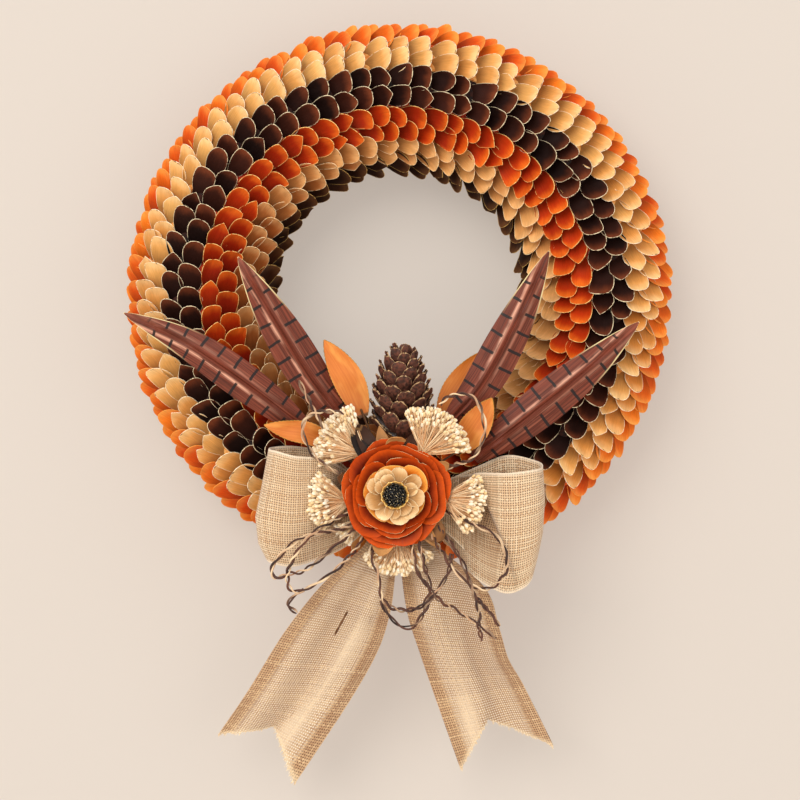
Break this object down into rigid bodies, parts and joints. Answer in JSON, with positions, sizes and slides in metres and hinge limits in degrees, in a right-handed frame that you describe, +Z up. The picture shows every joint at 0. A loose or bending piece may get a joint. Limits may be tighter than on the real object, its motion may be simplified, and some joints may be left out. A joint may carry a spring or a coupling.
{
  "type": "wooden wreath",
  "caption": "Round wall wreath of dyed wood shavings on a straw ring, with a burlap bow, feathers, a pine cone and a shaving flower, hung by a wire loop.",
  "frame": {"origin": "on the wall plane behind the wreath, level with the point where a nail carries the hanging loop", "axes": "+Z up, +Y back into the wall, and the front of the wreath faces -Y; +X is to the right as seen from the front"},
  "size_m": [0.5571, 0.197, 0.7748],
  "materials": {
    "straw": "dry straw",
    "steel": "drawn wire",
    "orange": "dyed shaving",
    "cream": "natural shaving",
    "brown": "dyed shaving",
    "rust": "dyed shaving",
    "tan": "natural shaving",
    "inner_brown": "dyed shaving",
    "burlap": "open weave",
    "feather": "satin feather",
    "veneer": "thin veneer",
    "cone": "dry cone scales",
    "black": "satin beads",
    "dry_leaf": "dry leaf",
    "sprig": "dried stalks",
    "vine": "dried stem"
  },
  "bodies": {
    "root": {"ring_core": "straw", "hanging_loop": "steel", "orange_petals_1": "orange", "orange_petals_2": "orange", "orange_petals_3": "orange", "orange_petals_4": "orange", "cream_petals_1": "cream", "cream_petals_2": "cream", "cream_petals_3": "cream", "cream_petals_4": "cream", "brown_petals_1": "brown", "brown_petals_2": "brown", "brown_petals_3": "brown", "brown_petals_4": "brown", "rust_petals_1": "rust", "rust_petals_2": "rust", "rust_petals_3": "rust", "rust_petals_4": "rust", "tan_petals_1": "tan", "tan_petals_2": "tan", "tan_petals_3": "tan", "tan_petals_4": "tan", "tan_petals_5": "tan", "tan_petals_6": "tan", "inner_brown_petals_1": "inner_brown", "inner_brown_petals_2": "inner_brown", "inner_brown_petals_3": "inner_brown", "inner_brown_petals_4": "inner_brown", "inner_brown_petals_5": "inner_brown", "inner_brown_petals_6": "inner_brown", "bow_knot": "burlap", "bow_loop_left": "burlap", "bow_loop_right": "burlap", "bow_tail_left": "burlap", "bow_tail_right": "burlap", "feather_left_low": "feather", "feather_left_high": "feather", "feather_right_high": "feather", "feather_right_low": "feather", "veneer_leaf_1": "veneer", "veneer_leaf_2": "veneer", "veneer_leaf_3": "veneer", "veneer_leaf_4": "veneer", "pine_cone": "cone", "flower_leaf_collar": "dry_leaf", "flower_rust_petals": "rust", "flower_orange_petals": "orange", "flower_cream_petals": "cream", "flower_centre": "black", "sprig_top_left": "sprig", "sprig_top_right": "sprig", "sprig_left": "sprig", "sprig_left_low": "sprig", "sprig_bottom": "sprig", "sprig_right": "sprig", "vine_left": "vine", "vine_top_left": "vine", "vine_top_right": "vine", "vine_right": "vine"}
  },
  "joints": []
}
